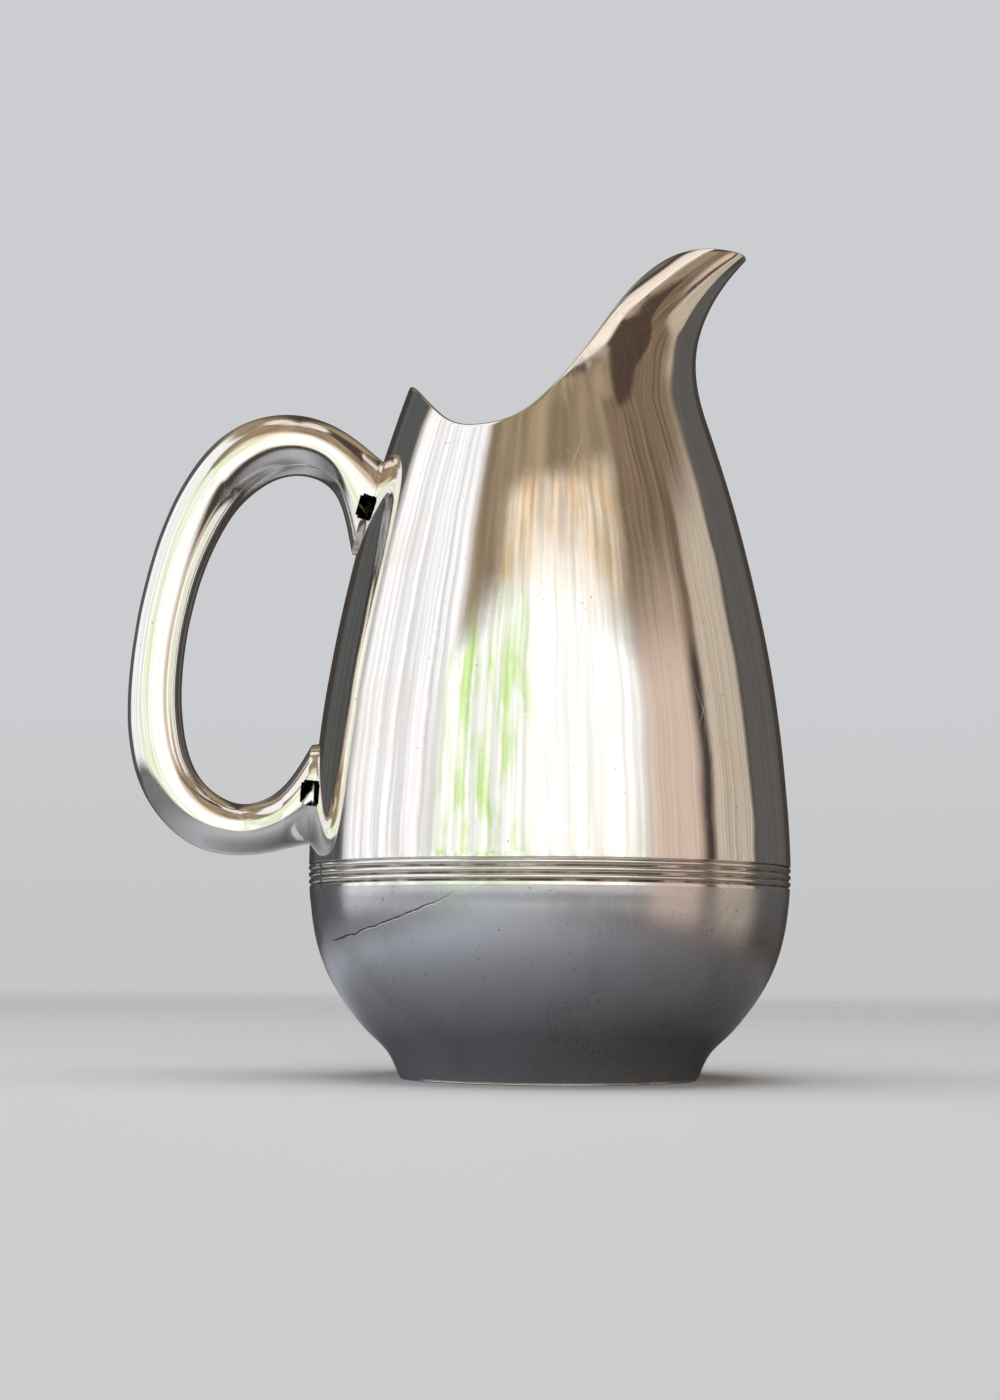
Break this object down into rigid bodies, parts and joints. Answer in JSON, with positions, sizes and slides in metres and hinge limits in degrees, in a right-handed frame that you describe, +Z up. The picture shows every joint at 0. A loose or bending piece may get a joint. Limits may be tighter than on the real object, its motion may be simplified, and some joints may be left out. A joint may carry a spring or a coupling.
{
  "type": "water pitcher",
  "caption": "Silver-plated water pitcher with a round bowl, a reeded band, a curved pouring spout and a hollow loop handle.",
  "frame": {"origin": "on the surface that the pitcher stands on, under the middle of the whole pitcher's box", "axes": "+Z up; +X towards the spout, with the handle towards -X; the pitcher is alike on both sides of the XZ plane"},
  "size_m": [0.1834, 0.1324, 0.2311],
  "materials": {
    "bowl_silver": "polished silver plate worn to a cool satin by fine scratches, small pits and faint tarnish",
    "base_silver": "silver plate, satin, with scuffs from standing",
    "ring_silver": "silver plate, rubbed bright at its edge",
    "body_silver": "polished silver plate, near a mirror, with hairline scratches and faint warm tarnish",
    "band_silver": "polished silver plate, with brown tarnish left in the grooves",
    "handle_silver": "polished silver plate, with small dents and hairline scratches"
  },
  "bodies": {
    "root": {"bowl": "bowl_silver", "base_plate": "base_silver", "base_ring": "ring_silver", "upper_body": "body_silver", "reeded_band": "band_silver", "handle_right_shell": "handle_silver", "handle_left_shell": "handle_silver"}
  },
  "joints": []
}
